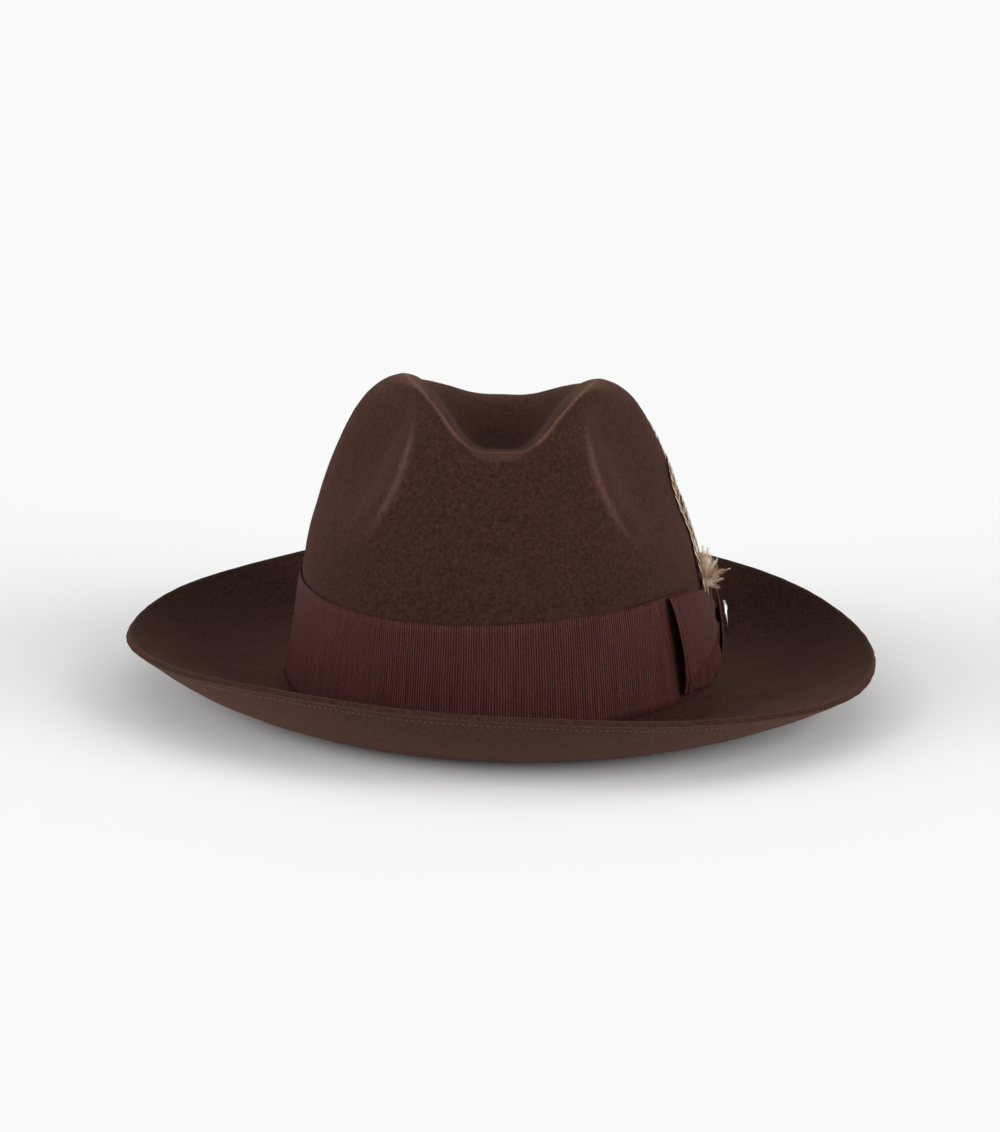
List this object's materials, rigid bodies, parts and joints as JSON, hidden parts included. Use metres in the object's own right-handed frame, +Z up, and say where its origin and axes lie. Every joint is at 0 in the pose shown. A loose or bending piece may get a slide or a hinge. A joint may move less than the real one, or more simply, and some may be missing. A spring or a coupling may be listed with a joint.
{
  "type": "fedora hat",
  "caption": "Felt fedora with a pinched teardrop crown, turned-up brim, ribbon band and bow, and a removable feather spray and pin.",
  "frame": {"origin": "under the centre of the hat, on the plane of the ring where the brim breaks from the crown", "axes": "+X to the wearer's left, where the bow is; +Y to the back; +Z up through the crown"},
  "size_m": [0.2999, 0.3311, 0.1324],
  "materials": {
    "felt": "brushed wool felt",
    "ribbon": "ribbed satin grosgrain",
    "feather": "barred feather vane",
    "down": "fluffy down",
    "binding": "waxed thread wrap",
    "pin_metal": "polished",
    "sweat_leather": "smooth roan leather",
    "reed_plastic": "flexible cord",
    "lining": "satin"
  },
  "bodies": {
    "hat": {"felt_body": "felt", "hat_band": "ribbon", "bow_front_loop": "ribbon", "bow_rear_loop": "ribbon", "bow_knot": "ribbon", "sweatband": "sweat_leather", "sweatband_reed": "reed_plastic", "sweatband_bow": "ribbon", "lining_side": "lining", "lining_tip": "lining"},
    "feather_spray": {"feather_long": "feather", "feather_mid": "feather", "feather_short": "feather", "down_tuft": "down", "feather_binding": "binding"},
    "pin": {"pin_plate": "pin_metal", "pin_post": "pin_metal"},
    "clutch": {"pin_clutch": "pin_metal"}
  },
  "joints": [
    {"name": "feather_slide", "type": "slide", "parent": "hat", "child": "feather_spray", "axis": [-0.1465, 0, 0.9892], "range_m": [0, 0.06]},
    {"name": "pin_slide", "type": "slide", "parent": "hat", "child": "pin", "axis": [0.9903, 0, 0.1392], "range_m": [0, 0.012]},
    {"name": "clutch_slide", "type": "slide", "parent": "hat", "child": "clutch", "axis": [-0.9903, 0, -0.1392], "range_m": [0, 0.0012]}
  ]
}
